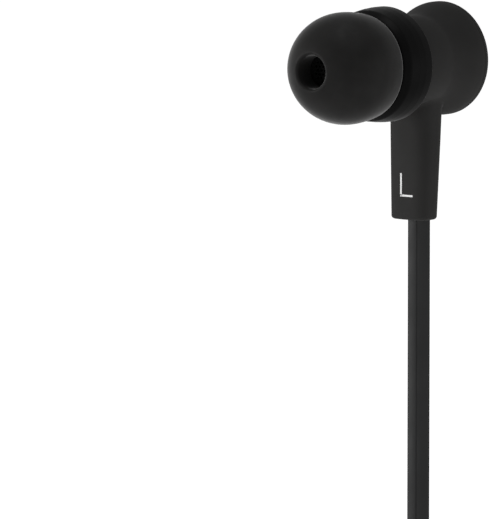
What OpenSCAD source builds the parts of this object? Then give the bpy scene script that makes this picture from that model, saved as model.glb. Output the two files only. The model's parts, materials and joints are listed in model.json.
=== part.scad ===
// Wired in-ear earphones: two buds on ribbon cords, a splitter, a plug and the spare cord in a hank.
// The left bud is held up by its ear tip. Its nozzle points along -Y and its stem hangs down.
// The right bud is its mirror twin, put away hanging stem up under the hank.

/* [Ear tip] */
// Radius of the ear tip where it seals the ear
tip_r = 6.35; // [5.3:0.05:7.6]
// Length of the tip's dome ahead of the seal
tip_front = 6.3; // [6:0.1:7.6]
// Length of the tip's skirt behind the seal
tip_back = 3.1; // [2.6:0.1:3.1]
// Radius of the sound hole in the tip
tip_hole_r = 1.9; // [1.5:0.1:2.2]
// Thickness of the silicone wall
tip_wall = 0.6; // [0.4:0.05:0.8]

/* [Nozzle] */
// Outer radius of the nozzle tube
nozzle_r = 2.3; // [2.1:0.1:2.8]
// Inner radius of the nozzle tube
nozzle_bore_r = 1.65; // [1.2:0.05:1.8]
// How far the nozzle reaches ahead of the front shell
nozzle_len = 7.1; // [5.5:0.1:7.1]
// How far the nozzle's lip stands out, which keeps the tip on
lip_h = 0.3; // [0.2:0.05:0.5]

/* [Shells] */
// Radius of the front shell
front_r = 6.55; // [6.3:0.05:7.6]
// Length of the front shell behind its shoulder
front_len = 4.4; // [3.6:0.05:5.2]
// Radius of the neck behind the front shell
neck_r = 5.2; // [5.15:0.05:5.4]
// Radius of the rear disc
disc_r = 6.5; // [5.9:0.05:7.6]
// Distance from the seal to the back of the rear disc
disc_y = 18.6; // [18:0.1:22.3]
// Thickness of the shell walls
shell_wall = 1.0; // [0.8:0.05:1.2]
// Thickness of the back cap's rim
cap_rim = 0.7; // [0.5:0.05:1]

/* [Stem] */
// Distance from the nozzle's axis down to the end of the stem
stem_drop = 18.1; // [16:0.1:21.7]
// Width of the stem at its lower end
stem_w = 5.2; // [5.1:0.1:6.2]
// Depth of the stem at its lower end
stem_d = 3.5; // [3.4:0.1:4.1]
// How much wider and deeper the stem is where it meets the neck
stem_flare = 0.7; // [0.4:0.1:1]

/* [Driver] */
// Radius of the speaker driver
driver_r = 4.5; // [4.4:0.02:4.55]
// Radius of the driver's magnet
magnet_r = 1.85; // [1.5:0.05:1.9]
// How far the diaphragm moves each way
cone_travel = 0.15; // [0.1:0.01:0.18]

/* [Cord and plug] */
// Width of the flat cord, along the stem's depth
cord_w = 2.6; // [2.2:0.05:2.8]
// Thickness of the flat cord
cord_t = 1.35; // [1:0.05:1.35]
// Radius of the plug's moulded grip
grip_r = 2.9; // [2.4:0.1:3]
// Length of the plug's moulded grip
grip_len = 13; // [11:0.5:16]
// Radius of the plug's contacts
pin_r = 1.75; // [1.25:0.05:1.75]
// Length of the cord splitter
splitter_len = 16; // [13.5:0.5:19]
// Width of the cord splitter
splitter_w = 5.6; // [5.5:0.1:6.8]

/* [Hidden] */

// Colours
black = [0.10, 0.10, 0.11];
soft_black = [0.13, 0.13, 0.14];
steel = [0.62, 0.62, 0.64];
copper = [0.72, 0.42, 0.24];
film = [0.75, 0.72, 0.60];
board_green = [0.10, 0.32, 0.20];
felt_white = [0.85, 0.84, 0.80];
cord_black = [0.16, 0.16, 0.17];

// Fits
slide_gap = 0.05;
soft_gap = 0.3;
round_fn = 96;
small_fn = 32;

// Places along the nozzle's axis, which is Y; each stack starts where the one before it ends
shoulder_y = tip_back + soft_gap;
front_rim_y = shoulder_y + front_len;
nozzle_tip_y = shoulder_y - nozzle_len;
lip_len = 0.7;
sleeve_bore_r = nozzle_r + lip_h + slide_gap;
sleeve_r = sleeve_bore_r + 0.75;
mesh_t = 0.25;
mesh_r = nozzle_bore_r + 0.3;
chamber_y = shoulder_y + 1.5;
skirt_r = neck_r + slide_gap;
seat_r = driver_r + slide_gap;
spigot_y = chamber_y + 0.1;
gasket_t = 0.25;
grille_t = 0.2;
grille_y = chamber_y + gasket_t;
frame_y = grille_y + grille_t;
cone_y = frame_y + 0.35;
cone_t = 0.08;
cone_r = driver_r - 0.6;
dome_h = 0.15;
coil_y = cone_y + cone_t;
plate_y = frame_y + 0.9;
plate_t = 0.45;
magnet_y = plate_y + plate_t;
magnet_t = 0.85;
yoke_base_t = 0.45;
yoke_y = magnet_y + magnet_t;
driver_back_y = yoke_y + yoke_base_t;
coil_r = magnet_r + 0.25;
coil_wall = 0.25;
yoke_wall_r = coil_r + coil_wall + 0.2;
yoke_r = yoke_wall_r + 0.45;
felt_t = 0.2;
ledge_y = driver_back_y + felt_t;
ledge_r = driver_r - 0.35;
board_t = 0.4;
flare_start_y = disc_y - 5.2;
flare_end_y = disc_y - 0.8;
cap_y = disc_y - cap_rim;
cap_spigot_len = 0.9;
cap_dome = 0.25;
cap_bore_r = disc_r - shell_wall;

// Stem, and the cord that leaves it
stem_y = disc_y - 5.5;
stem_top = 4.5;
stem_curve = 3.2;
stem_fillet = 0.4;
stem_side_wall = 0.65;
cord_x = 0.7;
cord_y = stem_y;
channel_x = cord_x / 2;
mouth_len = 2.5;
mouth_side = 0.25;
mouth_wall = 0.1;

// Hank of spare cord below the left bud, in five layers side by side along Y
hank_x = cord_x;
hank_y = cord_y;
hank_top_z = -stem_drop - 80;
hank_run = 39;
hank_loop_r = 6.5;
hank_out_r = 10;
plug_run_r = 9.3;
hank_layers = 5;
layer_step = 2.75;
hank_mid_z = hank_top_z - hank_run / 2;
hank_depth = hank_layers * layer_step;
half_turn = cord_t / 2 + slide_gap;
tie_w = 5;
tie_t = 0.6;

// Splitter in the hank's loop
splitter_y = hank_y + 1.4;
splitter_t = 4.4;
splitter_top_z = hank_mid_z + splitter_len / 2;
splitter_end_z = hank_mid_z - splitter_len / 2;
splitter_wall = 0.9;
splitter_seam = 0.02;
branch_x = 1.35;

// Right bud and plug
right_tail = 136;
plug_tail = 148;
right_at = [hank_out_r, 2 * layer_step, -2 * stem_drop - right_tail];
plug_x = hank_x - plug_run_r;
plug_y = hank_y - 2 * layer_step;
plug_z = -stem_drop - plug_tail;
boot_len = 9;
boot_r = 1.9;
grip_z = plug_z - boot_len;
shoulder_z = grip_z - grip_len;
sleeve_len = 7;
insulator_len = 0.6;
ring_len = 2;
pin_len = 14;
pin_core_r = 0.6;
ring_z = shoulder_z - sleeve_len - insulator_len;
tip_z = ring_z - ring_len - insulator_len;
pin_end_z = shoulder_z - pin_len;

// Routes of the cord's free stretches, measured from the middle of the left stem's mouth
left_route = [[0, 0, 0], [0, 0, -6], [0, 0, -12], [0, 0, -18], [0, 0, -24], [0, 0, -30], [0, 0, -36],
    [0, 0, -42], [0, 0, -48], [0, 0, -54], [0, 0, -60], [0, 0.6, -64.5], [0.5, 1.7, -67.4],
    [1.9, 2.4, -69.8], [4.3, 2.75, -71.7]];
left_lead_route = [[6.1, 2.8, -78], [4.9, 2.5, -82.5], [2.6, 1.9, -87], [1.35, 1.4, -91.5]];
right_lead_route = [[-1.35, 1.4, -91.5], [-2.6, 2.6, -87], [-4.9, 4.5, -82.5], [-6.1, 5.5, -78]];
plug_lead_route = [[0, 1.4, -107.5], [-1.2, 1, -112], [-4, 0.3, -116.5], [-6.1, 0, -121]];
right_route = [[10, 5.5, -121], [10, 5.5, -126], [10, 5.5, -131], [10, 5.5, -136]];
plug_route = [[-9.3, -5.5, -122], [-9.3, -5.5, -128], [-9.3, -5.5, -134], [-9.3, -5.5, -141], [-9.3, -5.5, -148]];

// Turns a profile of [radius, distance along Y] about the nozzle's axis
module turned() {
    rotate([-90, 0, 0]) rotate_extrude($fn = round_fn) children();
}

// A round bar along Y
module bar_y(r, y0, y1, x = 0, z = 0, fn = small_fn) {
    translate([x, y0, z]) rotate([-90, 0, 0]) cylinder(r = r, h = y1 - y0, $fn = fn);
}

// A ring about the nozzle's axis
module ring_y(r_out, r_in, y0, y1) {
    turned() translate([r_in, y0]) square([r_out - r_in, y1 - y0]);
}

// Outline of the flat cord; its first number runs along Y
cord_edge = 0.12;
cord_section = [for (s = [[1, 1], [-1, 1], [-1, -1], [1, -1]], k = [0, 1])
    let (near_side = (s[0] * s[1] > 0) == (k == 0))
    near_side ? [s[0] * cord_w / 2, s[1] * (cord_t / 2 - cord_edge)]
              : [s[0] * (cord_w / 2 - cord_edge), s[1] * cord_t / 2]];

// Sweeps the cord's outline along a route from the left stem's mouth, keeping its wide side along Y
module cord_along(route) {
    last = len(route) - 1;
    sides = len(cord_section);
    points = [for (i = [0:last])
        let (ahead = route[min(i + 1, last)] - route[max(i - 1, 0)])
        let (along = ahead / norm(ahead))
        let (wide = [0, 1, 0] - along * along[1])
        let (across = wide / norm(wide))
        let (thick = cross(along, across))
        for (p = cord_section) route[i] + across * p[0] + thick * p[1]];
    walls = [for (i = [0:last - 1], k = [0:sides - 1])
        [i * sides + k, i * sides + (k + 1) % sides, (i + 1) * sides + (k + 1) % sides, (i + 1) * sides + k]];
    start = [for (k = [sides - 1:-1:0]) k];
    end = [for (k = [0:sides - 1]) last * sides + k];
    translate([cord_x, cord_y, -stem_drop]) polyhedron(points, concat([start], walls, [end]));
}

// Places what it holds as the right bud: the left bud's mirror twin, stem up
module on_right() {
    translate(right_at) mirror([0, 0, 1]) children();
}

// ---- Ear tip ----

dome_steps = 12;
skirt_steps = 5;
lip_round = 0.35;
dome_b = tip_front / sqrt(1 - pow((tip_hole_r + lip_round) / tip_r, 2));
dome_end = asin(tip_front / dome_b);
skirt_rim_r = tip_r - 0.4;
skirt_b = tip_back / sqrt(1 - pow(skirt_rim_r / tip_r, 2));
skirt_end = asin(tip_back / skirt_b);
sleeve_step_y = nozzle_tip_y - 0.2;
sleeve_end_y = tip_back - 0.2;
crotch_y = sleeve_step_y + 0.4;
inner_dome_b = -crotch_y / sqrt(1 - pow(sleeve_r / (tip_r - tip_wall), 2));
inner_dome_end = asin(-crotch_y / inner_dome_b);

function oval(r, b, a) = [r * cos(a), b * sin(a)];

module ear_tip() {
    color(black) turned() polygon(concat(
        [[tip_hole_r, -tip_front + lip_round]],
        [for (i = [0:dome_steps]) oval(tip_r, dome_b, -dome_end * (1 - i / dome_steps))],
        [for (i = [1:skirt_steps]) oval(tip_r, skirt_b, skirt_end * i / skirt_steps)],
        [for (i = [skirt_steps:-1:1]) oval(tip_r - tip_wall, skirt_b, skirt_end * i / skirt_steps)],
        [for (i = [0:dome_steps]) oval(tip_r - tip_wall, inner_dome_b, -inner_dome_end * i / dome_steps)],
        [[sleeve_r, sleeve_end_y], [sleeve_bore_r, sleeve_end_y], [sleeve_bore_r, sleeve_step_y],
         [tip_hole_r, sleeve_step_y]]));
}

// ---- Front shell and its mesh ----

mesh_hole_r = 0.16;
mesh_pitch = 0.5;
mesh_rows = 3;

module nozzle_mesh() {
    color(steel) difference() {
        bar_y(mesh_r - slide_gap, nozzle_tip_y, nozzle_tip_y + mesh_t, fn = round_fn);
        for (i = [-mesh_rows:mesh_rows], j = [-mesh_rows:mesh_rows])
            let (x = (i + j / 2) * mesh_pitch, z = j * mesh_pitch * sqrt(3) / 2)
            if (norm([x, z]) < mesh_r - 0.5)
                bar_y(mesh_hole_r, nozzle_tip_y - 1, nozzle_tip_y + 1, x, z, 16);
    }
}

shoulder_round = 0.8;
shoulder_steps = 8;
rim_chamfer = 0.15;
vent_r = 0.3;
vent_y = front_rim_y - 0.55;

module front_shell() {
    color(soft_black) difference() {
        turned() polygon(concat(
            [[nozzle_bore_r, nozzle_tip_y + mesh_t], [mesh_r, nozzle_tip_y + mesh_t], [mesh_r, nozzle_tip_y],
             [nozzle_r + lip_h - 0.15, nozzle_tip_y], [nozzle_r + lip_h, nozzle_tip_y + 0.15],
             [nozzle_r + lip_h, nozzle_tip_y + lip_len], [nozzle_r, nozzle_tip_y + lip_len + lip_h],
             [nozzle_r, shoulder_y]],
            [for (i = [0:shoulder_steps]) let (a = 90 * i / shoulder_steps)
                [front_r - shoulder_round * (1 - sin(a)), shoulder_y + shoulder_round * (1 - cos(a))]],
            [[front_r, front_rim_y - rim_chamfer], [front_r - rim_chamfer, front_rim_y], [skirt_r, front_rim_y],
             [skirt_r, chamber_y], [driver_r - 0.6, chamber_y], [nozzle_bore_r, shoulder_y - 0.5]]));
        translate([0, vent_y, -front_r - 1]) cylinder(r = vent_r, h = front_r - skirt_r + 1.5, $fn = small_fn);
    }
}

module front_gasket() {
    color(felt_white) ring_y(driver_r, driver_r - 0.6, chamber_y, grille_y);
}

// ---- Driver ----

grille_hole_r = 0.45;
grille_holes = 6;
frame_vents = 6;

module driver_grille() {
    color(steel) difference() {
        bar_y(driver_r, grille_y, frame_y, fn = round_fn);
        for (k = [0:grille_holes - 1]) let (a = 360 * k / grille_holes)
            bar_y(grille_hole_r, grille_y - 1, frame_y + 1, 2.2 * cos(a), 2.2 * sin(a));
        bar_y(grille_hole_r, grille_y - 1, frame_y + 1);
    }
}

module diaphragm() {
    dome_r = coil_r + coil_wall;
    color(film) turned() polygon([[0, cone_y - dome_h], [dome_r / 2, cone_y - dome_h * 0.75], [dome_r, cone_y],
        [cone_r - 0.5, cone_y - dome_h / 2], [cone_r, cone_y], [cone_r, coil_y], [cone_r - 0.5, coil_y - dome_h / 2],
        [dome_r, coil_y], [coil_r, coil_y], [dome_r / 2, coil_y - dome_h * 0.75], [0, coil_y - dome_h]]);
}

module voice_coil() {
    color(copper) ring_y(coil_r + coil_wall, coil_r, coil_y, magnet_y + 0.3);
}

module pole_plate() {
    color(steel) bar_y(magnet_r + 0.1, plate_y, magnet_y, fn = round_fn);
}

module magnet() {
    color([0.45, 0.45, 0.48]) bar_y(magnet_r, magnet_y, yoke_y, fn = round_fn);
}

module yoke() {
    color(steel) union() {
        ring_y(yoke_r, yoke_wall_r, plate_y + 0.05, driver_back_y);
        bar_y(yoke_wall_r, yoke_y, driver_back_y, fn = round_fn);
    }
}

module driver_frame() {
    frame_wall_r = cone_r + 0.15;
    cone_seat_y = coil_y + cone_travel + 0.08;
    color([0.30, 0.30, 0.32]) difference() {
        union() {
            ring_y(driver_r, frame_wall_r, frame_y, driver_back_y);
            ring_y(driver_r, max(cone_r - 0.25, yoke_r + slide_gap), cone_seat_y, driver_back_y);
            ring_y(driver_r, yoke_r + slide_gap, driver_back_y - 0.5, driver_back_y);
        }
        for (k = [0:frame_vents - 1]) let (a = 360 * (k + 0.5) / frame_vents, r = (yoke_r + cone_r) / 2)
            bar_y(0.25, driver_back_y - 1, driver_back_y + 1, r * cos(a), r * sin(a));
    }
}

module damping_felt() {
    color(felt_white) ring_y(driver_r, yoke_r + 0.1, driver_back_y, ledge_y);
}

board_w = 3.4;
board_h = 2.2;
wire_r = 0.18;
wire_x = 0.6;
pad_h = 0.12;

module terminal_board() {
    color(board_green) union() {
        translate([-board_w / 2, driver_back_y, -board_h / 2]) cube([board_w, board_t, board_h]);
        for (i = [-1, 1])
            bar_y(0.45, driver_back_y + board_t, driver_back_y + board_t + pad_h, i * wire_x * 1.6);
    }
}

knot_r = 0.85;
knot_len = 3;
knot_top_z = -stem_drop + mouth_len + 0.9 + knot_len;

module lead_wires() {
    bend_y = cord_y;
    start_y = driver_back_y + board_t + pad_h;
    color(copper) for (i = [-1, 1]) {
        bar_y(wire_r, start_y, bend_y, i * wire_x * 1.6, 0, 16);
        translate([i * wire_x * 1.6, bend_y, 0]) sphere(r = wire_r, $fn = 16);
        translate([i * wire_x * 1.6, bend_y, knot_top_z]) cylinder(r = wire_r, h = -knot_top_z, $fn = 16);
    }
}

// ---- Rear shell with the stem ----

flare_steps = 14;
function ease(t) = t * t * (3 - 2 * t);
function flare_r(i) = neck_r + (disc_r - neck_r) * ease(i / flare_steps);
function flare_y(i) = flare_start_y + (flare_end_y - flare_start_y) * i / flare_steps;

// A slice of the stem: a rounded oblong with gently curved sides
module stem_slice(w, d, y, z) {
    function swell(t, half) = half * sign(t) * pow(abs(t), 2 / stem_curve);
    translate([0, y, z]) linear_extrude(0.1)
        polygon([for (k = [0:63]) let (a = 360 * (k + 0.5) / 64) [swell(cos(a), w / 2), swell(sin(a), d / 2)]]);
}

module stem_body() {
    hull() {
        stem_slice(stem_w - 2 * stem_fillet, stem_d - stem_fillet, stem_y, -stem_drop);
        stem_slice(stem_w, stem_d, stem_y, -stem_drop + stem_fillet);
        stem_slice(stem_w + stem_flare, stem_d + stem_flare, stem_y + stem_flare / 2, -stem_top);
    }
}

module rear_shell() {
    channel_w = stem_w - 3 * stem_side_wall;
    channel_d = stem_d - 2 * stem_side_wall;
    mouth_w = cord_t + 2 * mouth_side;
    mouth_d = cord_w + 2 * mouth_wall;
    color(soft_black) difference() {
        union() {
            turned() polygon(concat([[0, spigot_y], [neck_r, spigot_y]],
                [for (i = [0:flare_steps]) [flare_r(i), flare_y(i)]], [[disc_r, cap_y], [0, cap_y]]));
            stem_body();
        }
        turned() polygon(concat([[0, spigot_y - 1], [seat_r, spigot_y - 1], [seat_r, ledge_y], [ledge_r, ledge_y]],
            [for (i = [0:flare_steps]) [flare_r(i) - shell_wall, flare_y(i)]], [[cap_bore_r, cap_y + 1], [0, cap_y + 1]]));
        bar_y(cap_bore_r, cap_y - cap_spigot_len - slide_gap, cap_y + 1, fn = round_fn);
        translate([channel_x - channel_w / 2, stem_y - channel_d / 2, -stem_drop + mouth_len])
            cube([channel_w, channel_d, stem_drop - mouth_len - 3]);
        translate([cord_x - mouth_w / 2, cord_y - mouth_d / 2, -stem_drop - 1])
            cube([mouth_w, mouth_d, mouth_len + 1.1]);
    }
}

module back_cap() {
    spigot_r = cap_bore_r - slide_gap;
    color(soft_black) turned() polygon([[spigot_r - 0.8, cap_y - cap_spigot_len], [spigot_r, cap_y - cap_spigot_len],
        [spigot_r, cap_y], [disc_r, cap_y], [disc_r, disc_y - 0.25], [disc_r - 0.3, disc_y],
        [disc_r / 2, disc_y + cap_dome * 0.75], [0, disc_y + cap_dome], [0, cap_y + 0.1], [spigot_r - 0.8, cap_y + 0.1]]);
}

module cord_knot() {
    color(cord_black) union() {
        for (i = [-1, 0, 1])
            translate([channel_x + i * 0.65, stem_y, knot_top_z - knot_len]) cylinder(r = knot_r, h = knot_len, $fn = small_fn);
        translate([cord_x - cord_t / 2, cord_y - cord_w / 2, -stem_drop])
            cube([cord_t, cord_w, mouth_len]);
        translate([cord_x - cord_t / 2, stem_y - knot_r, -stem_drop + mouth_len])
            cube([cord_t, 2 * knot_r, knot_top_z - knot_len + stem_drop - mouth_len]);
    }
}

module cord_grommet() {
    mouth_w = cord_t + 2 * mouth_side;
    mouth_d = cord_w + 2 * mouth_wall;
    color(cord_black) difference() {
        translate([cord_x - mouth_w / 2 + 0.02, cord_y - mouth_d / 2 + 0.02, -stem_drop])
            cube([mouth_w - 0.04, mouth_d - 0.04, mouth_len]);
        translate([cord_x - cord_t / 2 - 0.02, cord_y - cord_w / 2 - 0.02, -stem_drop - 1])
            cube([cord_t + 0.04, cord_w + 0.04, mouth_len + 2]);
    }
}

// ---- Cord, hank and splitter ----

module left_cord() {
    color(cord_black) {
        cord_along(left_route);
        cord_along(left_lead_route);
    }
}

module right_cord() {
    color(cord_black) {
        cord_along(right_lead_route);
        cord_along(right_route);
    }
}

module plug_cord() {
    color(cord_black) {
        cord_along(plug_lead_route);
        cord_along(plug_route);
    }
}

// A straight-sided shape with round ends, lying in X and Z and centred on the hank
module long_loop(r, depth) {
    translate([hank_x, hank_y + depth / 2, 0]) rotate([90, 0, 0]) linear_extrude(depth) union() {
        translate([-r, hank_top_z - hank_run]) square([2 * r, hank_run]);
        for (z = [hank_top_z, hank_top_z - hank_run])
            translate([0, z]) circle(r = r, $fn = round_fn);
    }
}

module cord_hank() {
    color(cord_black) difference() {
        long_loop(hank_out_r + half_turn, hank_depth);
        long_loop(hank_loop_r - half_turn, hank_depth + 2);
    }
}

module cord_ties() {
    run_w = hank_out_r - hank_loop_r + 2 * half_turn;
    inner = [run_w + 2 * slide_gap, hank_depth + 2 * slide_gap];
    outer = [inner[0] + 2 * tie_t, inner[1] + 2 * tie_t];
    color(black) for (s = [-1, 1])
        translate([hank_x + s * (hank_out_r + hank_loop_r) / 2, hank_y, hank_mid_z - tie_w / 2]) difference() {
            translate([-outer[0] / 2, -outer[1] / 2, 0]) cube([outer[0], outer[1], tie_w]);
            translate([-inner[0] / 2, -inner[1] / 2, -1]) cube([inner[0], inner[1], tie_w + 2]);
        }
}

// Half of the splitter's round-ended shell; side is -1 for the front half and 1 for the back half
module splitter_half(side) {
    half_t = splitter_t / 2 - splitter_seam;
    cavity_t = half_t - splitter_wall / 2;
    cavity_w = splitter_w - 1.5 * splitter_wall;
    difference() {
        translate([hank_x, splitter_y + side * (splitter_seam + half_t / 2) + half_t / 2, 0])
            rotate([90, 0, 0]) linear_extrude(half_t) splitter_outline(1.2);
        translate([hank_x - cavity_w / 2, splitter_y + (side < 0 ? -cavity_t : -1), splitter_end_z + splitter_wall])
            cube([cavity_w, cavity_t + 1, splitter_len - 2 * splitter_wall]);
        for (x = [-branch_x, branch_x]) splitter_slot(hank_x + x, splitter_top_z - splitter_wall - 1);
        splitter_slot(hank_x, splitter_end_z - 1);
    }
}

// The splitter's outline in X and Z, with its corners rounded to r
module splitter_outline(r) {
    translate([-splitter_w / 2, splitter_end_z]) union() {
        translate([r, 0]) square([splitter_w - 2 * r, splitter_len]);
        translate([0, r]) square([splitter_w, splitter_len - 2 * r]);
        for (x = [r, splitter_w - r], z = [r, splitter_len - r]) translate([x, z]) circle(r = r, $fn = small_fn);
    }
}

module splitter_slot(x, z) {
    slot = [cord_t + 2 * slide_gap, cord_w + 2 * slide_gap];
    translate([x - slot[0] / 2, splitter_y - slot[1] / 2, z]) cube([slot[0], slot[1], splitter_wall + 2]);
}

module splitter_front() {
    color(soft_black) splitter_half(-1);
}

module splitter_back() {
    color(soft_black) splitter_half(1);
}

// The soldered ends of the three cords inside the splitter
module splitter_joint() {
    end_len = splitter_len / 2 - 0.7;
    end_w = cord_w - 0.1;
    end_t = cord_t - 0.1;
    color(copper) union() {
        translate([hank_x - 1.6, splitter_y - 1, hank_mid_z - 2]) cube([3.2, 2, 4]);
        for (x = [-branch_x, branch_x])
            translate([hank_x + x - end_t / 2, splitter_y - end_w / 2, hank_mid_z]) cube([end_t, end_w, end_len]);
        translate([hank_x - end_t / 2, splitter_y - end_w / 2, hank_mid_z - end_len]) cube([end_t, end_w, end_len]);
    }
}

// ---- Plug ----

// A solid turned about the plug's axis from a profile of [radius, height]
module plug_turned() {
    translate([plug_x, plug_y, 0]) rotate_extrude($fn = round_fn) children();
}

module plug_boot() {
    slot_w = cord_t + 2 * slide_gap;
    slot_d = cord_w + 2 * slide_gap;
    color(cord_black) difference() {
        plug_turned() polygon([[0, plug_z], [boot_r - 0.2, plug_z], [boot_r, plug_z - 0.3],
            [boot_r + 0.5, grip_z], [0, grip_z]]);
        translate([plug_x - slot_w / 2, plug_y - slot_d / 2, plug_z - 2]) cube([slot_w, slot_d, 3]);
    }
}

module plug_grip() {
    color(soft_black) difference() {
        plug_turned() polygon([[0, grip_z], [grip_r - 0.6, grip_z], [grip_r, grip_z - 0.8],
            [grip_r, shoulder_z + 0.3], [grip_r - 0.3, shoulder_z], [0, shoulder_z]]);
        translate([plug_x, plug_y, shoulder_z - 1]) cylinder(r = pin_r - 0.3, h = 7, $fn = small_fn);
    }
}

module plug_core() {
    color(steel) union() {
        translate([plug_x, plug_y, shoulder_z]) cylinder(r = pin_r - 0.35, h = 5.5, $fn = small_fn);
        translate([plug_x, plug_y, tip_z - 1]) cylinder(r = pin_core_r, h = shoulder_z - tip_z + 1, $fn = small_fn);
    }
}

module contact(z_low, z_high) {
    translate([plug_x, plug_y, z_low]) difference() {
        cylinder(r = pin_r, h = z_high - z_low, $fn = round_fn);
        translate([0, 0, -1]) cylinder(r = pin_core_r + 0.02, h = z_high - z_low + 2, $fn = small_fn);
    }
}

module plug_sleeve() {
    color(steel) contact(shoulder_z - sleeve_len, shoulder_z);
}

module plug_insulators() {
    color(black) for (z = [shoulder_z - sleeve_len, ring_z - ring_len])
        translate([plug_x, plug_y, z - insulator_len]) difference() {
            cylinder(r = pin_r, h = insulator_len, $fn = round_fn);
            translate([0, 0, -1]) cylinder(r = pin_core_r + 0.02, h = insulator_len + 2, $fn = small_fn);
        }
}

module plug_ring() {
    color(steel) contact(ring_z - ring_len, ring_z);
}

module plug_tip() {
    waist_r = pin_r * 0.68;
    waist_z = tip_z - 1.6;
    color(steel) difference() {
        plug_turned() polygon([[0, tip_z], [pin_r, tip_z], [pin_r, tip_z - 0.5], [waist_r, waist_z],
            [pin_r * 0.95, waist_z - 1], [pin_r * 0.8, pin_end_z + 0.6], [pin_r * 0.3, pin_end_z], [0, pin_end_z]]);
        translate([plug_x, plug_y, tip_z - 1.02]) cylinder(r = pin_core_r + 0.02, h = 2, $fn = small_fn);
    }
}

ear_tip();  // left_ear_tip
nozzle_mesh();  // left_nozzle_mesh
front_shell();  // left_front_shell
front_gasket();  // left_front_gasket
driver_grille();  // left_driver_grille
diaphragm();  // left_diaphragm
voice_coil();  // left_voice_coil
pole_plate();  // left_pole_plate
magnet();  // left_magnet
yoke();  // left_yoke
driver_frame();  // left_driver_frame
damping_felt();  // left_damping_felt
terminal_board();  // left_terminal_board
lead_wires();  // left_lead_wires
rear_shell();  // left_rear_shell
back_cap();  // left_back_cap
cord_knot();  // left_cord_knot
cord_grommet();  // left_cord_grommet
on_right() ear_tip();  // right_ear_tip
on_right() nozzle_mesh();  // right_nozzle_mesh
on_right() front_shell();  // right_front_shell
on_right() front_gasket();  // right_front_gasket
on_right() driver_grille();  // right_driver_grille
on_right() diaphragm();  // right_diaphragm
on_right() voice_coil();  // right_voice_coil
on_right() pole_plate();  // right_pole_plate
on_right() magnet();  // right_magnet
on_right() yoke();  // right_yoke
on_right() driver_frame();  // right_driver_frame
on_right() damping_felt();  // right_damping_felt
on_right() terminal_board();  // right_terminal_board
on_right() lead_wires();  // right_lead_wires
on_right() rear_shell();  // right_rear_shell
on_right() back_cap();  // right_back_cap
on_right() cord_knot();  // right_cord_knot
on_right() cord_grommet();  // right_cord_grommet
left_cord();
right_cord();
plug_cord();
cord_hank();
cord_ties();
splitter_front();
splitter_back();
splitter_joint();
plug_boot();
plug_grip();
plug_core();
plug_sleeve();
plug_insulators();
plug_ring();
plug_tip();
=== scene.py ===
"""Looks of a pair of wired in-ear earphones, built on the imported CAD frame.

The left bud is held up by its ear tip with its cord hanging down. The spare cord is wound into a
tied hank below it, with the splitter in its loop, and the right bud and the plug hang beneath.
Lengths are in millimetres until place() turns them into metres in the row frame.
"""

import json
import math

import bmesh
import bpy
import numpy as np
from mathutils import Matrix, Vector


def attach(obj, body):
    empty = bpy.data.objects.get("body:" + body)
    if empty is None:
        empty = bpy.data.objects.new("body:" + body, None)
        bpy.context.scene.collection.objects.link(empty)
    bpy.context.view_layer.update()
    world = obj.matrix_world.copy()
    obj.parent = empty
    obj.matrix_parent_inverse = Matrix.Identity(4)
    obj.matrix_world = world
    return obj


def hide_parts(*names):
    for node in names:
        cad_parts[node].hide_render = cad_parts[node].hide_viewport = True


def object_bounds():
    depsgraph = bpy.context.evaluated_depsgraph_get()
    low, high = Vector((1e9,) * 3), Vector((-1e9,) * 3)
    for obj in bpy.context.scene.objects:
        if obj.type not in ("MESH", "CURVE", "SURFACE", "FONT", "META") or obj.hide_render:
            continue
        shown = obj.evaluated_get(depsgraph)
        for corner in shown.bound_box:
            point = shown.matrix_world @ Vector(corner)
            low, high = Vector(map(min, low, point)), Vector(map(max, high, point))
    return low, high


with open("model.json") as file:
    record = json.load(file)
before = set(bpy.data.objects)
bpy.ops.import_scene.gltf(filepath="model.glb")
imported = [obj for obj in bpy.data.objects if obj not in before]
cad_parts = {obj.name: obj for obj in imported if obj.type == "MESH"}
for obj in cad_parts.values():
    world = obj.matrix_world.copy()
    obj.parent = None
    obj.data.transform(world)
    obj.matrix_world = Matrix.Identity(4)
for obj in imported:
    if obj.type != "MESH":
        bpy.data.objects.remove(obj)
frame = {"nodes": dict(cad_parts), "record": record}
CAD_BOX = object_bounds()
MM = 0.001

# ---- Sizes that part.scad also holds ----

TIP_R, TIP_HOLE_R, TIP_WALL = 6.35, 1.9, 0.6
TIP_FRONT, TIP_BACK = -6.3, 3.1
SLEEVE_R, SLEEVE_BORE_R, SLEEVE_STEP, SLEEVE_END = 3.4, 2.65, -3.9, 2.9
NOZZLE_R, NOZZLE_BORE_R, LIP_R, NOZZLE_TIP = 2.3, 1.65, 2.6, -3.7
MESH_R, MESH_T = 1.95, 0.25
SHOULDER, FRONT_RIM, FRONT_R = 3.4, 7.8, 6.55
NECK_R, SKIRT_R, CHAMBER, SPIGOT = 5.2, 5.25, 4.9, 5.0
SEAT_R, LEDGE_R, LEDGE = 4.55, 4.15, 8.2
FLARE_START, FLARE_END = 13.4, 17.8
DISC_R, DISC_BACK, CAP_Y, SHELL_WALL = 6.5, 18.6, 17.9, 1.0
STEM_DROP, STEM_W, STEM_D, STEM_CURVE, STEM_FLARE, STEM_TOP = 18.1, 5.2, 3.5, 3.2, 0.7, 4.5
STEM_Y, CORD_X = 13.1, 0.7
CORD_W, CORD_T, CORD_EDGE = 2.6, 1.35, 0.14
MOUTH_LEN, MOUTH_W, MOUTH_D = 2.5, 1.85, 2.8
CHANNEL_X, CHANNEL_W, CHANNEL_D = 0.35, 3.25, 2.2
MOUTH = np.array([CORD_X, STEM_Y, -STEM_DROP])
HANK_TOP, HANK_END, LOOP_R, OUT_R, LAYER = -80.0, -119.0, 6.5, 10.0, 2.75
PLUG_R = 9.3
VENT_R, VENT_Y = 0.3, FRONT_RIM - 0.55
RIGHT_AT = np.array([10.0, 5.5, -172.2])
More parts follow.
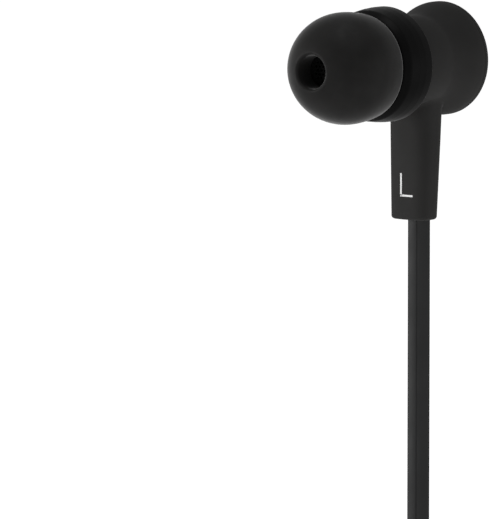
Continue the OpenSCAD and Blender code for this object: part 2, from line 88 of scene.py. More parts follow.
SPLITTER_TOP, SPLITTER_END, BRANCH_X, SPLITTER_Y = -91.5, -107.5, 1.35, 1.4
SPLITTER_W, SPLITTER_T, SPLITTER_WALL, SLOT_GAP = 5.6, 4.4, 0.9, 0.05
PLUG_X, PLUG_Y, PLUG_Z = -8.6, 7.6, -166.1
BOOT_LEN, GRIP_LEN, GRIP_R, PIN_R = 9.0, 13.0, 2.9, 1.75

# ---- Camera ----


def make_camera():
    """A long lens at the height of the bud, looking a little down on it."""
    camera = bpy.data.objects.new("camera", bpy.data.cameras.new("camera"))
    bpy.context.scene.collection.objects.link(camera)
    camera.location = Vector((482.4, -635.7, 68.5)) * MM
    aim = Vector((-7.05, -9.23, -21.28)) * MM
    camera.rotation_mode = "QUATERNION"
    camera.rotation_quaternion = (aim - camera.location).to_track_quat("-Z", "Y")
    camera.data.sensor_width = 36.0
    camera.data.lens = 493.9
    camera.data.clip_end = 60.0
    bpy.context.scene.camera = camera


# ---- Finishes ----


def noise(nodes, links, where, scale, detail=3.0):
    """A noise texture in the row frame; scale is in waves per metre."""
    node = nodes.new("ShaderNodeTexNoise")
    node.inputs["Scale"].default_value = scale
    node.inputs["Detail"].default_value = detail
    links.new(where, node.inputs["Vector"])
    return node.outputs["Fac"]


def ranged(nodes, links, value, low, high):
    """Spreads a noise value over low to high."""
    node = nodes.new("ShaderNodeMapRange")
    node.inputs["From Min"].default_value = 0.3
    node.inputs["From Max"].default_value = 0.7
    node.inputs["To Min"].default_value = low
    node.inputs["To Max"].default_value = high
    links.new(value, node.inputs["Value"])
    return node.outputs["Result"]


def finish_of(name, dark, light, rough, patch=160.0, grain=6000.0, relief=0.05, **sockets):
    """A finish of two tones in soft patches, with wandering roughness and a fine relief.

    rough is the pair of lowest and highest roughness; sockets are set on the shader as they are.
    """
    material = bpy.data.materials.new(name)
    material.use_nodes = True
    nodes, links = material.node_tree.nodes, material.node_tree.links
    shader = nodes["Principled BSDF"]
    where = nodes.new("ShaderNodeTexCoord").outputs["Object"]
    tones = nodes.new("ShaderNodeMix")
    tones.data_type = "RGBA"
    tones.inputs["A"].default_value = (*dark, 1.0)
    tones.inputs["B"].default_value = (*light, 1.0)
    patches = ranged(nodes, links, noise(nodes, links, where, patch), 0.0, 1.0)
    links.new(patches, tones.inputs["Factor"])
    links.new(tones.outputs["Result"], shader.inputs["Base Color"])
    wander = noise(nodes, links, where, patch * 2.5)
    links.new(ranged(nodes, links, wander, *rough), shader.inputs["Roughness"])
    bump = nodes.new("ShaderNodeBump")
    bump.inputs["Strength"].default_value = relief
    bump.inputs["Distance"].default_value = 0.00005
    links.new(noise(nodes, links, where, grain), bump.inputs["Height"])
    links.new(bump.outputs["Normal"], shader.inputs["Normal"])
    for socket, value in sockets.items():
        shader.inputs[socket.replace("_", " ")].default_value = value
    return material


def grey(value, warm=0.0):
    """A grey that leans to red when warm is above zero and to blue when it is below."""
    return (value * (1 + warm), value, value * (1 - warm))


def make_finishes():
    """Every finish by the name of the record's material slot that it shows."""
    metal = {"Metallic": 1.0}
    rubbery = {"Specular_IOR_Level": 0.16, "Sheen_Weight": 0.50, "Sheen_Roughness": 0.3}
    coated = {"Specular_IOR_Level": 0.10, "Sheen_Weight": 0.08, "Sheen_Roughness": 0.4}
    front_coated = {"Specular_IOR_Level": 0.08, "Sheen_Weight": 0.25, "Sheen_Roughness": 0.3}
    tip_tones = grey(0.010, 0.03), grey(0.014, 0.03)
    return {
        "silicone": finish_of("silicone", *tip_tones, (0.50, 0.60), patch=400.0, **rubbery),
        "shell": finish_of("shell", grey(0.023, 0.02), grey(0.027, 0.02), (0.55, 0.65), **coated),
        # The front ring's finish is the shell's, a little glossier and far darker; the darker tone is painted shade
        # from the ear tip over the ring.
        "front": finish_of("front", grey(0.0025), grey(0.004), (0.45, 0.55), **front_coated),
        "cord": finish_of("cord", grey(0.016, -0.02), grey(0.019, -0.02), (0.40, 0.48), Specular_IOR_Level=0.25),
        "steel_mesh": finish_of("steel_mesh", grey(0.004), grey(0.006), (0.5, 0.6), Specular_IOR_Level=0.1),
        "gasket": finish_of("gasket", grey(0.04), grey(0.06), (0.8, 0.9), grain=9000.0, relief=0.4),
        "steel": finish_of("steel", grey(0.50), grey(0.58), (0.28, 0.38), **metal),
        "driver_metal": finish_of("driver_metal", grey(0.28), grey(0.34), (0.35, 0.45), **metal),
        "magnet": finish_of("magnet", grey(0.45), grey(0.52), (0.2, 0.3), **metal),
        "film": finish_of("film", (0.55, 0.48, 0.30), (0.62, 0.55, 0.38), (0.15, 0.25)),
        "copper": finish_of("copper", (0.55, 0.25, 0.12), (0.68, 0.33, 0.18), (0.25, 0.35), **metal),
        "felt": finish_of("felt", grey(0.6, 0.02), grey(0.72, 0.02), (0.9, 1.0), grain=8000.0, relief=0.6),
        "board": finish_of("board", (0.02, 0.12, 0.06), (0.03, 0.16, 0.08), (0.25, 0.35)),
        "tie": finish_of("tie", grey(0.018), grey(0.024), (0.6, 0.7), grain=5000.0, relief=0.2),
        "insulator": finish_of("insulator", grey(0.015), grey(0.02), (0.3, 0.4)),
        "plug_metal": finish_of("plug_metal", grey(0.66, 0.02), grey(0.74, 0.02), (0.16, 0.24), **metal),
        "mark": finish_of("mark", grey(0.78), grey(0.86), (0.5, 0.6)),
    }


# ---- Shapes ----


def place(points, side="left"):
    """Points of the left bud in metres, or the same points on its mirror twin on the right."""
    points = np.asarray(points, float)
    if side == "right":
        points = points * (1, 1, -1) + RIGHT_AT
    return points * MM


def add_piece(name, points, faces, finish, sharp=35.0):
    """A mesh object from points in metres, with its normals outwards and its edges shaded by angle."""
    mesh = bpy.data.meshes.new(name)
    mesh.from_pydata([tuple(p) for p in points], [], [tuple(f) for f in faces])
    cleaned = bmesh.new()
    cleaned.from_mesh(mesh)
    bmesh.ops.remove_doubles(cleaned, verts=cleaned.verts, dist=1e-6)
    bmesh.ops.recalc_face_normals(cleaned, faces=cleaned.faces)
    cleaned.to_mesh(mesh)
    cleaned.free()
    piece = bpy.data.objects.new(name, mesh)
    bpy.context.scene.collection.objects.link(piece)
    mesh.materials.append(finish)
    mesh.shade_smooth()
    mesh.set_sharp_from_angle(angle=math.radians(sharp))
    return piece


def belongs(piece, body, slot, *nodes):
    """The piece rides on a body and stands for CAD nodes, which it hides; slot is not used."""
    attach(piece, body)
    if nodes:
        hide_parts(*nodes)
    return piece


def rounded(corners, steps=6):
    """A closed outline of (u, v) from corners of (u, v, radius)."""
    outline = []
    for i, (u, v, radius) in enumerate(corners):
        here = Vector((u, v))
        back = Vector(corners[i - 1][:2]) - here
        ahead = Vector(corners[(i + 1) % len(corners)][:2]) - here
        if radius == 0:
            outline.append((u, v))
            continue
        cut = min(radius / math.tan(back.angle(ahead) / 2), back.length * 0.49, ahead.length * 0.49)
        start, end = here + back.normalized() * cut, here + ahead.normalized() * cut
        for t in np.linspace(0, 1, steps + 1):
            outline.append(tuple(start * (1 - t) ** 2 + here * 2 * t * (1 - t) + end * t * t))
    return outline


def rounded_box(half_u, half_v, radius, steps=4):
    """Points round a rectangle with round corners, centred on the origin."""
    outline = []
    for u, v, start in ((1, 1, 0), (-1, 1, 90), (-1, -1, 180), (1, -1, 270)):
        for k in range(steps + 1):
            a = math.radians(start + 90 * k / steps)
            outline.append((u * (half_u - radius) + radius * math.cos(a), v * (half_v - radius) + radius * math.sin(a)))
    return outline


def oval(radius, depth, start, end, steps):
    """Points of (radius, y) on an ellipse about the nozzle's axis, between two angles in radians."""
    return [(radius * math.cos(a), depth * math.sin(a)) for a in np.linspace(start, end, steps + 1)]


def quads(rows, count, closed, base=0):
    """Faces between neighbouring rows of count points each, and from the last row to the first if closed."""
    faces = []
    for i in range(rows if closed else rows - 1):
        here, ahead = base + i * count, base + (i + 1) % rows * count
        for k in range(count):
            after = (k + 1) % count
            faces.append((here + k, here + after, ahead + after, ahead + k))
    return faces


def turned(profile, turns=160):
    """Points and faces of a closed profile of (radius, y), turned about the nozzle's axis."""
    angles = [2 * math.pi * k / turns for k in range(turns)]
    points = [(r * math.sin(a), y, -r * math.cos(a)) for a in angles for r, y in profile]
    return points, quads(turns, len(profile), closed=True)


def lofted(rings):
    """Points and faces of a closed body through rings of equally many points."""
    count = len(rings[0])
    points = [p for ring in rings for p in ring]
    faces = quads(len(rings), count, closed=False)
    faces.append(tuple(range(count)))
    faces.append(tuple(range(len(points) - count, len(points))))
    return points, faces


def combine(piece, operation, *tools):
    """Joins tools to the piece or cuts them out of it, and removes them."""
    for tool in tools:
        step = piece.modifiers.new("step", "BOOLEAN")
        step.operation, step.solver, step.object = operation, "MANIFOLD", tool
        bpy.context.view_layer.update()
        shaped = bpy.data.meshes.new_from_object(piece.evaluated_get(bpy.context.evaluated_depsgraph_get()))
        piece.modifiers.clear()
        piece.data = shaped
        bpy.data.objects.remove(tool)


def reshade(piece, sharp):
    """Smooth shading with edges sharper than an angle kept."""
    piece.data.shade_smooth()
    piece.data.set_sharp_from_angle(angle=math.radians(sharp))


# ---- Cord routes, measured in millimetres from the middle of the left stem's mouth ----

LEFT_HANG = [(0, 0, -6.0 * k) for k in range(11)]
LEFT_ROUTE = [*LEFT_HANG, (0, 0.6, -64.5), (0.5, 1.7, -67.4), (1.9, 2.4, -69.8), (4.3, 2.75, -71.7)]
LEFT_LEAD_ROUTE = [(6.1, 2.8, -78), (4.9, 2.5, -82.5), (2.6, 1.9, -87), (1.35, 1.4, -91.5)]
RIGHT_LEAD_ROUTE = [(-1.35, 1.4, -91.5), (-2.6, 2.6, -87), (-4.9, 4.5, -82.5), (-6.1, 5.5, -78)]
PLUG_LEAD_ROUTE = [(0, 1.4, -107.5), (-1.2, 1, -112), (-4, 0.3, -116.5), (-6.1, 0, -121)]
RIGHT_ROUTE = [(10, 5.5, -121), (10, 5.5, -126), (10, 5.5, -131), (10, 5.5, -136)]
PLUG_ROUTE = [(-9.3, -5.5, z) for z in (-122, -128, -134, -141, -148)]


def eased(t):
    """A share of 0 to 1 that starts and ends slowly."""
    return t * t * (3 - 2 * t)


def wound(angle, way, layer, radius, radii, layers, short=0.0, steps=12):
    """Half turns of the hank from an angle in degrees from +X; way is 1 for anticlockwise.

    radii holds the radius at the end of each bend and layers the layer at the end of each straight
    run between two bends. short is how much of the last bend is left out, in degrees.
    """
    points = []
    for number, next_radius in enumerate(radii):
        turn = (-way * angle) % 180 or 180
        centre = HANK_TOP if math.sin(math.radians(angle + way * turn / 2)) > 0 else HANK_END
        if number == len(radii) - 1:
            turn -= short
        for k in range(steps + 1):
            a = math.radians(angle + way * turn * k / steps)
            r = radius + (next_radius - radius) * k / steps
            points.append((r * math.cos(a), layer, centre + r * math.sin(a)))
        angle, radius = angle + way * turn, next_radius
        if number < len(layers):
            x, far = radius * math.cos(math.radians(angle)), HANK_TOP + HANK_END - centre
            for t in np.linspace(0, 1, 8)[1:-1]:
                points.append((x, layer + (layers[number] - layer) * eased(t), centre + (far - centre) * t))
            layer = layers[number]
    return points


def straight(x, y, start, end, step=6.0):
    """Points down a straight stretch, without its two ends."""
    count = round((start - end) / step)
    return [(x, y, start + (end - start) * k / count) for k in range(1, count)]


def left_route():
    """From the left stem down, onto the hank, two turns inwards and into the splitter."""
    turns = wound(62.5, -1, LAYER, PLUG_R, (PLUG_R, 8.6, 7.9, 7.2, LOOP_R), [LAYER] * 4, short=18)
    return [*LEFT_ROUTE, *turns[1:-3], *LEFT_LEAD_ROUTE]


def right_route():
    """From the splitter onto the hank, two and a half turns outwards and down to the right stem."""
    turns = wound(162, -1, 2 * LAYER, LOOP_R, (7.2, 7.9, 8.6, 9.3, OUT_R), [2 * LAYER] * 4)
    return [*RIGHT_LEAD_ROUTE, *turns[3:], *straight(OUT_R, 2 * LAYER, HANK_TOP, -121), *RIGHT_ROUTE]


def plug_route():
    """From the splitter onto the hank, six turns in three layers and down to the plug."""
    radii = (7.2, 7.9, 8.6, 9.3, 8.6, 7.9, 7.2, LOOP_R, 7.2, 7.9, 8.6, PLUG_R)
    layers = [0] * 3 + [-LAYER] * 4 + [-2 * LAYER] * 4
    turns = wound(198, 1, 0, LOOP_R, radii, layers)
    return [*PLUG_LEAD_ROUTE, *turns[3:], *straight(-PLUG_R, -2 * LAYER, HANK_TOP, -122), *PLUG_ROUTE]


def smoothed(route, step=1.5):
    """Points about a step apart on a smooth curve through the route's points."""
    route = [np.array(p, float) for p in route]
    ends = [2 * route[0] - route[1], *route, 2 * route[-1] - route[-2]]
    points = []
    for before, start, end, after in zip(ends, ends[1:], ends[2:], ends[3:]):
        count = max(1, round(np.linalg.norm(end - start) / step))
        ahead, behind = end - start, start - before
        beyond = after - end
        gap, last, coming = (math.sqrt(np.linalg.norm(d)) for d in (ahead, behind, beyond))
        leave = (ahead / gap * last + behind / last * gap) / (last + gap)
        arrive = (beyond / coming * gap + ahead / gap * coming) / (gap + coming)
        for t in np.arange(count) / count:
            points.append(
                start * (2 * t**3 - 3 * t**2 + 1)
                + leave * gap * (t**3 - 2 * t**2 + t)
                + end * (3 * t**2 - 2 * t**3)
                + arrive * gap * (t**3 - t**2)
            )
    return np.array([*points, route[-1]])


def make_cord(name, node, route, finish, **facts):
    """A flat cord of rounded section along a route, its wide side kept along Y; facts are not used."""
    path = smoothed(route)
    section = rounded_box(CORD_W / 2, CORD_T / 2, CORD_EDGE, 3)
    rings = []
    for i, here in enumerate(path):
        along = path[min(i + 1, len(path) - 1)] - path[max(i - 1, 0)]
        along /= np.linalg.norm(along)
        wide = np.array([0.0, 1.0, 0.0]) - along * along[1]
        wide /= np.linalg.norm(wide)
        thick = np.cross(along, wide)
        rings.append([here + wide * u + thick * v for u, v in section])
    points, faces = lofted(rings)
    piece = add_piece(name, (np.array(points) + MOUTH) * MM, faces, finish, sharp=50.0)
    belongs(piece, "earphones", "cord", node)
    return piece


# ---- Ear tip, front shell and back cap ----


def make_ear_tip(side, finish):
    """A hollow silicone dome with its skirt turned round a sleeve."""
    lip_r, bead_r, bead_h = 0.35, 0.26, 0.25
    mouth = TIP_HOLE_R + lip_r
    depth = TIP_FRONT / math.sqrt(1 - (mouth / TIP_R) ** 2)
    skirt_depth = TIP_BACK / math.sqrt(1 - ((TIP_R - 0.4) / TIP_R) ** 2)
    inner_r = TIP_R - TIP_WALL
    crotch = SLEEVE_STEP + 0.4
    inner_depth = crotch / math.sqrt(1 - (SLEEVE_R / inner_r) ** 2)
    rim_y = TIP_BACK - bead_h
    rim = math.asin(rim_y / skirt_depth)
    outer = oval(TIP_R, -depth, -math.asin(TIP_FRONT / depth), 0, 48)
    outer += oval(TIP_R, skirt_depth, 0, rim, 12)[1:]
    inner = oval(inner_r, skirt_depth, rim, 0, 12)
    inner += oval(inner_r, inner_depth, 0, math.asin(crotch / inner_depth), 32)[1:]
    bead_x = TIP_R - 0.42 - bead_r
    edge = [(bead_x + x, rim_y + y) for x, y in oval(bead_r, bead_h, 0.5, math.pi - 0.5, 7)]
    lip = []
    for a in np.linspace(math.pi / 2, 0, 7)[:-1]:
        lip.append((mouth - lip_r * math.sin(a), TIP_FRONT + lip_r * (1 - math.cos(a))))
    sleeve = [(SLEEVE_R, SLEEVE_END), (SLEEVE_BORE_R, SLEEVE_END)]
    sleeve += [(SLEEVE_BORE_R, SLEEVE_STEP), (TIP_HOLE_R, SLEEVE_STEP)]
    points, faces = turned(lip + outer + edge + inner + sleeve)
    piece = add_piece(f"{side}_silicone_tip", place(points, side), faces, finish, sharp=40.0)
    return belongs(piece, f"{side}_tip", "silicone", f"{side}_ear_tip")


def make_front_shell(side, finish):
    """The middle ring with its nozzle, lip and rear skirt, and the vent under its rim. Its finish is darker than the
    shell's, which is painted shade from the ear tip over it.
    """
    profile = rounded(
        [
            (NOZZLE_BORE_R, NOZZLE_TIP + MESH_T, 0),
            (MESH_R, NOZZLE_TIP + MESH_T, 0),
            (MESH_R, NOZZLE_TIP, 0),
            (LIP_R, NOZZLE_TIP, 0.15),
            (LIP_R, NOZZLE_TIP + 0.7, 0.1),
            (NOZZLE_R, NOZZLE_TIP + 1.0, 0.1),
            (NOZZLE_R, SHOULDER, 0.15),
            (5.75, SHOULDER, 0.45),
            (6.3, SHOULDER + 0.8, 0.8),
            (6.48, SHOULDER + 2.2, 1.2),
            (FRONT_R, FRONT_RIM - 1.2, 1.0),
            (FRONT_R, FRONT_RIM, 0.16),
            (SKIRT_R, FRONT_RIM, 0.1),
            (SKIRT_R, CHAMBER, 0),
            (3.9, CHAMBER, 0),
            (NOZZLE_BORE_R, SHOULDER - 0.5, 0),
        ]
    )
    points, faces = turned(profile)
    piece = add_piece(f"{side}_front_ring", place(points, side), faces, finish)
    circle = oval(VENT_R, VENT_R, 0, 2 * math.pi, 24)[:-1]
    points, faces = lofted([[(x, VENT_Y + y, z) for x, y in circle] for z in (-7.4, -5.2)])
    combine(piece, "DIFFERENCE", add_piece("drill", place(points, side), faces, finish))
    reshade(piece, 35.0)
    return belongs(piece, "earphones", "shell", f"{side}_front_shell")


def make_back_cap(side, finish):
    """The disc that closes the rear shell, slightly domed, with a soft rim."""
    bore = DISC_R - SHELL_WALL - 0.05
    profile = rounded(
        [
            (bore - 0.8, CAP_Y - 0.9, 0),
            (bore, CAP_Y - 0.9, 0.15),
            (bore, CAP_Y + 0.01, 0),
            (DISC_R - 0.04, CAP_Y + 0.01, 0.05),
            (DISC_R, CAP_Y + 0.15, 0.05),
            (DISC_R, DISC_BACK - 0.02, 0.3),
            (DISC_R * 0.5, DISC_BACK + 0.19, 3.0),
            (0, DISC_BACK + 0.25, 0),
            (0, CAP_Y + 0.1, 0),
            (bore - 0.8, CAP_Y + 0.1, 0),
        ]
    )
    points, faces = turned(profile)
    piece = add_piece(f"{side}_back_disc", place(points, side), faces, finish)
    return belongs(piece, "earphones", "shell", f"{side}_back_cap")


# ---- Rear shell with the stem, and the side mark ----


def neck_radius(y):
    """Radius of the rear shell's outer surface at a distance along the nozzle's axis."""
    t = min(1.0, max(0.0, (y - FLARE_START) / (FLARE_END - FLARE_START)))
    return NECK_R + (DISC_R - NECK_R) * eased(t)


def stem_ring(z, inset=0.0):
    """The stem's outline at a height, drawn in by an inset."""
    share = (z + STEM_DROP) / (STEM_DROP - STEM_TOP)
    half_w, half_d = (STEM_W + STEM_FLARE * share) / 2, (STEM_D + STEM_FLARE * share) / 2
    middle = STEM_Y + STEM_FLARE * share / 2
    ring = []
    for k in range(64):
        a = 2 * math.pi * (k + 0.5) / 64
        u, v = (math.copysign(abs(t) ** (2 / STEM_CURVE), t) for t in (math.cos(a), math.sin(a)))
        ring.append(((half_w - inset) * u, middle + (half_d - inset) * v, z))
    return ring


def stem_solid(fillet=0.5, steps=8):
    """The stem's rings from its foot up to the neck, ending in a soft fillet round the neck."""
    foot = [(0.35 * (1 - math.sin(a)), -STEM_DROP + 0.35 * (1 - math.cos(a))) for a in np.linspace(0, math.pi / 2, 6)]
    rings = [stem_ring(z, inset) for inset, z in foot] + [stem_ring(z) for z in np.linspace(-17, -9, 9)]
    top = np.array(stem_ring(-5.8))
    middle = np.array([0, STEM_Y + STEM_FLARE / 2])
    meets, spread = [], []
    for k, (x, y, _) in enumerate(top):
        tangent = top[(k + 1) % len(top), :2] - top[k - 1, :2]
        out = np.array([tangent[1], -tangent[0]])
        out *= np.sign(out @ (top[k, :2] - middle)) / np.linalg.norm(out)
        far = np.array([x, y]) + out * fillet
        meets.append((x, y, -math.sqrt(neck_radius(y) ** 2 - x**2)))
        spread.append((*far, -math.sqrt(neck_radius(far[1]) ** 2 - far[0] ** 2) + 0.04))
    meets, spread = np.array(meets), np.array(spread)
    start = meets - (0, 0, fillet)
    for t in np.linspace(0, 1, steps + 1):
        rings.append(list(start * (1 - t) ** 2 + meets * 2 * t * (1 - t) + spread * t * t))
    rings.append([(x * 0.5, middle[1] + (y - middle[1]) * 0.5, -2.0) for x, y, _ in top])
    return lofted(rings)


def block(x, y, width, depth, low, high):
    """A box with slightly rounded upright edges, for a cut."""
    ring = rounded_box(width / 2, depth / 2, 0.2, 3)
    return lofted([[(x + u, y + v, z) for u, v in ring] for z in (low, high)])


def make_rear_shell(side, finish):
    """The neck, flare and stem as one hollow moulding."""
    flare = [(neck_radius(y), y) for y in np.linspace(FLARE_START, FLARE_END, 25)]
    outer = [(0, SPIGOT), (NECK_R - 0.05, SPIGOT), (NECK_R, SPIGOT + 0.1), *flare]
    outer += [(DISC_R, CAP_Y - 0.05), (DISC_R - 0.05, CAP_Y), (0, CAP_Y)]
    inside = [(r - SHELL_WALL, y) for r, y in flare]
    bore, open_end = DISC_R - SHELL_WALL, CAP_Y + 1
    cavity = [(0, SPIGOT - 1), (SEAT_R, SPIGOT - 1), (SEAT_R, LEDGE), (LEDGE_R, LEDGE), *inside]
    cavity += [(bore, open_end), (0, open_end)]
    seat = [(0, CAP_Y - 0.95), (bore, CAP_Y - 0.95), (bore, open_end), (0, open_end)]
    parts = {"stem": stem_solid(), "cavity": turned(cavity), "seat": turned(seat)}
    parts["channel"] = block(CHANNEL_X, STEM_Y, CHANNEL_W, CHANNEL_D, -STEM_DROP + MOUTH_LEN, -3.0)
    parts["mouth"] = block(CORD_X, STEM_Y, MOUTH_W, MOUTH_D, -STEM_DROP - 1, -STEM_DROP + MOUTH_LEN + 0.1)
    parts = {name: add_piece(name, place(p, side), f, finish) for name, (p, f) in parts.items()}
    points, faces = turned(outer, turns=192)
    piece = add_piece(f"{side}_neck_and_stem", place(points, side), faces, finish)
    combine(piece, "UNION", parts["stem"])
    combine(piece, "DIFFERENCE", parts["cavity"], parts["seat"], parts["channel"], parts["mouth"])
    reshade(piece, 38.0)
    return belongs(piece, "earphones", "shell", f"{side}_rear_shell")


def stroke(line, width, front, lift):
    """A thin raised bar along a line of (x, z) on the stem's front face."""
    line = np.array(line, float)
    ahead = np.gradient(line, axis=0)
    ahead /= np.linalg.norm(ahead, axis=1)[:, None]
    side = np.column_stack([-ahead[:, 1], ahead[:, 0]]) * width / 2
    rings = []
    for (x, z), (u, v) in zip(line, side):
        corners = ((1, 0.05), (1, -lift), (-1, -lift), (-1, 0.05))
        rings.append([(x + way * u, front + out, z + way * v) for way, out in corners])
    return lofted(rings)


def make_side_mark(side, finish):
    """The plain letter that tells the left bud from the right one."""
    front, low, high, left, right = STEM_Y - STEM_D / 2, -15.3, -12.75, -0.55, 1.08
    bowl_x, bowl_w, bowl_r = 0.05, 0.62, 0.68
    if side == "left":
        lines = [[(left, high), (left, low)], [(left - 0.11, low), (right, low)]]
    else:
        arc = oval(bowl_w, bowl_r, math.pi / 2, -math.pi / 2, 13)
        bowl = [(bowl_x + x, high - bowl_r + z) for x, z in arc]
        waist = high - 2 * bowl_r
        lines = [[(left, high), (left, low)], [(left - 0.13, high), *bowl, (left, waist)]]
        lines.append([(-0.05, waist), (right, low)])
        lines = [[(-x, z) for x, z in line] for line in lines]
    points, faces = [], []
    for line in lines:
        more, sides = stroke(line, 0.22, front, 0.04)
        faces += [tuple(k + len(points) for k in face) for face in sides]
        points += more
    piece = add_piece(f"{side}_side_mark", place(points, side), faces, finish)
    return belongs(piece, "earphones", "mark")


# ---- Cords with their splitter, ties and plug ----


def make_splitter(finish):
    """Two moulded halves with soft edges round the soldered joint."""
    middle, edge_r, corner_r = (SPLITTER_TOP + SPLITTER_END) / 2, 0.7, 1.4
    half_w, half_h, half_t = SPLITTER_W / 2, (SPLITTER_TOP - SPLITTER_END) / 2, SPLITTER_T / 2
    slot_w, slot_d = CORD_T + 2 * SLOT_GAP, CORD_W / 2 + SLOT_GAP
    levels = [(0.02, 0.04), (0.07, 0.0)]
    for a in np.linspace(0, math.pi / 2, 7):
        levels.append((half_t - edge_r + edge_r * math.sin(a), edge_r * (1 - math.cos(a))))
    halves = {"splitter_front": -1, "splitter_back": 1}
    for node, way in halves.items():
        rings = []
        for out, inset in levels:
            outline = rounded_box(half_w - inset, half_h - inset, corner_r - inset, 6)
            rings.append([(u, SPLITTER_Y + way * out, middle + v) for u, v in outline])
        points, faces = lofted(rings)
        piece = add_piece(node + "_half", (np.array(points) + MOUTH) * MM, faces, finish)
        cuts = [(0, 4.25, 1.73, SPLITTER_END + SPLITTER_WALL, SPLITTER_TOP - SPLITTER_WALL)]
        cuts += [(x, slot_w, slot_d, SPLITTER_TOP - 1.5, SPLITTER_TOP + 1) for x in (-BRANCH_X, BRANCH_X)]
        cuts += [(0, slot_w, slot_d, SPLITTER_END - 1, SPLITTER_END + 1.5)]
        for x, width, depth, low, high in cuts:
            points, faces = block(x, SPLITTER_Y, width, 2 * depth, low, high)
            combine(piece, "DIFFERENCE", add_piece("cut", (np.array(points) + MOUTH) * MM, faces, finish))
        reshade(piece, 35.0)
        belongs(piece, "earphones", "shell", node)


def make_ties(finish):
    """A ribbed rubber band round each side of the hank, standing for the two straps."""
    middle, corner_r, half_h, ribs = (HANK_TOP + HANK_END) / 2, 0.7, 2.45, 6
    half_v = 2 * LAYER + CORD_W / 2 + SLOT_GAP
    section = [(0, -half_h), (0, half_h)]
    for t in np.linspace(0, 1, 73):
        section.append((0.42 + 0.13 * math.cos(2 * ribs * math.pi * t), half_h * (1 - 2 * t)))
    points, faces = [], []
    for x_low, x_high in ((-PLUG_R, -LOOP_R), (7.2, OUT_R)):
        x, half_u = (x_low + x_high) / 2, (x_high - x_low) / 2 + CORD_T / 2 + SLOT_GAP
        corners = rounded_box(half_u, half_v, corner_r, 6)
        faces += quads(len(corners), len(section), closed=True, base=len(points))
        for u, v in corners:
            centre_u = max(corner_r - half_u, min(half_u - corner_r, u))
            centre_v = max(corner_r - half_v, min(half_v - corner_r, v))
            way = np.array([u - centre_u, v - centre_v]) / corner_r
            points += [(x + u + way[0] * out, v + way[1] * out, middle + z) for out, z in section]
    piece = add_piece("hank_bands", (np.array(points) + MOUTH) * MM, faces, finish)
    return belongs(piece, "earphones", "tie", "cord_ties")


def on_plug(profile, turns=96):
    """Points in metres and faces of a closed profile of (radius, z) turned about the plug's axis."""
    points, faces = turned(profile, turns)
    return (np.array([(x, -z, y) for x, y, z in points]) + (PLUG_X, PLUG_Y, PLUG_Z)) * MM, faces


def make_plug(finishes):
    """The ribbed boot and the moulded grip; the contacts are the CAD's own."""
    grip, shoulder = -BOOT_LEN, -BOOT_LEN - GRIP_LEN
    rib_h, groove_h, core_r = 0.28, 0.25, PIN_R - 0.3
    ribs = []
    for k in range(7):
        z = -1.2 - k * 1.0
        r = 1.85 + 0.5 * (k + 1) / 8
        ribs += [(r, z, 0.12), (r - rib_h, z - 0.18, 0.08)]
        ribs += [(r - rib_h, z - 0.5, 0.08), (r + 0.03, z - 0.68, 0.12)]
    corners = [(0, grip, 0), (0, 0, 0), (1.75, 0, 0.25), *ribs, (2.4, grip, 0)]
    points, faces = on_plug(rounded(corners))
    boot = add_piece("boot", points, faces, finishes["cord"])
    outline = rounded_box(CORD_T / 2 + SLOT_GAP, CORD_W / 2 + SLOT_GAP, 0.3, 3)
    points, faces = lofted([[(PLUG_X + u, PLUG_Y + v, PLUG_Z + z) for u, v in outline] for z in (-2, 1)])
    combine(boot, "DIFFERENCE", add_piece("cut", np.array(points) * MM, faces, finishes["cord"]))
    reshade(boot, 35.0)
    belongs(boot, "earphones", "cord", "plug_boot")
    grooves = []
    for k in range(3):
        z = grip - 4.2 - 1.6 * k
        grooves += [(GRIP_R, z, 0.15), (GRIP_R - groove_h, z - 0.3, 0.1)]
        grooves += [(GRIP_R - groove_h, z - 0.6, 0.1), (GRIP_R, z - 0.9, 0.15)]
    corners = [(0, shoulder, 0), (0, grip, 0), (2.45, grip, 0.4), (GRIP_R, grip - 1.4, 0.6)]
    points, faces = on_plug(rounded([*corners, *grooves, (GRIP_R, shoulder, 0.35)]))
    body = add_piece("grip", points, faces, finishes["shell"])
    bore = [(0, shoulder - 1), (core_r, shoulder - 1), (core_r, shoulder + 6), (0, shoulder + 6)]
    points, faces = on_plug(bore)
    combine(body, "DIFFERENCE", add_piece("cut", points, faces, finishes["shell"]))
    reshade(body, 35.0)
    belongs(body, "earphones", "shell", "plug_grip")
    return [boot, body, "plug_core", "plug_sleeve", "plug_insulators", "plug_ring", "plug_tip"]


def make_cords(finish, splitter, plug):
    """The two branches and the trunk, from the buds and the plug to the splitter."""
    hung = {"length": 0.35, "far_end": "fitting", "lay": "hanging", "with_pieces": splitter}
    put_away = {"length": 0.35, "far_end": "object", "lay": "coiled"}
    plugged = {"length": 0.80, "far_end": "plug", "lay": "coiled", "with_pieces": plug}
    make_cord("left_branch", "left_cord", left_route(), finish, **hung)
    make_cord("right_branch", "right_cord", right_route(), finish, **put_away)
    trunk = make_cord("trunk", "plug_cord", plug_route(), finish, **plugged)
    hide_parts("cord_hank")


# ---- Studio ----


def make_light(name, size, power, place_at, aim, colour=(1, 1, 1)):
    """A soft square light."""
    light = bpy.data.objects.new(name, bpy.data.lights.new(name, "AREA"))
    light.data.shape, light.data.size, light.data.energy, light.data.color = "SQUARE", size, power, colour
    light.location = Vector(place_at)
    light.rotation_mode = "QUATERNION"
    light.rotation_quaternion = (Vector(aim) - light.location).to_track_quat("-Z", "Y")
    bpy.context.scene.collection.objects.link(light)
    return light


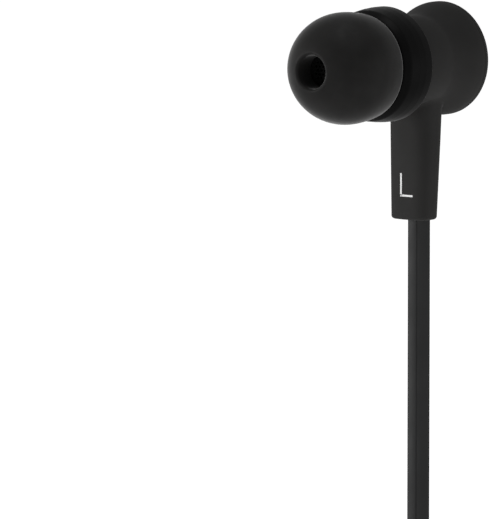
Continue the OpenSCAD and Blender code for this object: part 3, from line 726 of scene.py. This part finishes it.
def make_studio():
    """A wide pale floor below everything, a surround and soft lights on three sides.

    The surround is white to the camera and dim to the pieces, and the floor glows a little and is
    kept out of reflections, so that black pieces stay black in front of white.
    """
    scene = bpy.context.scene
    scene.view_settings.view_transform = "Standard"
    world = bpy.data.worlds.new("surround")
    world.use_nodes = True
    nodes, links = world.node_tree.nodes, world.node_tree.links
    seen = nodes.new("ShaderNodeMapRange")
    seen.inputs["To Min"].default_value, seen.inputs["To Max"].default_value = 0.22, 1.0
    links.new(nodes.new("ShaderNodeLightPath").outputs["Is Camera Ray"], seen.inputs["Value"])
    nodes["Background"].inputs["Color"].default_value = (1, 1, 1, 1)
    links.new(seen.outputs["Result"], nodes["Background"].inputs["Strength"])
    scene.world = world
    glow = {"Emission_Color": (1, 1, 1, 1), "Emission_Strength": 0.8}
    pale = finish_of("floor", grey(0.88), grey(0.90), (0.8, 0.9), patch=0.5, grain=40.0, **glow)
    height, half = CAD_BOX[0].z - 0.004, 12
    corners = [(-half, -half, height), (half, -half, height), (half, half, height), (-half, half, height)]
    floor = add_piece("floor", corners, [(0, 1, 2, 3)], pale)
    floor.visible_glossy = False
    make_light("key", 1.2, 22, (-1.6, -1.5, 0.2), (0, 0, -0.02))
    make_light("side", 0.8, 7, (1.8, 0.9, -0.4), (0, 0, -0.02))
    make_light("top", 1.0, 10, (0.2, -0.1, 2.2), (0, 0, -0.02))


# ---- The scene ----


def main():
    make_camera()
    finishes = make_finishes()
    make_splitter(finishes["shell"])
    make_ties(finishes["tie"])
    splitter = [bpy.data.objects[name] for name in ("splitter_front_half", "splitter_back_half", "hank_bands")]
    make_cords(finishes["cord"], [*splitter, "splitter_joint"], make_plug(finishes))
    for side in ("left", "right"):
        make_ear_tip(side, finishes["silicone"])
        make_front_shell(side, finishes["front"])
        make_back_cap(side, finishes["shell"])
        make_rear_shell(side, finishes["shell"])
        make_side_mark(side, finishes["mark"])
    for row in frame["record"]["subparts"]:
        for slot in frame["nodes"][row["node"]].material_slots:
            slot.material = finishes[row["material_slot"]]
    make_studio()


main()
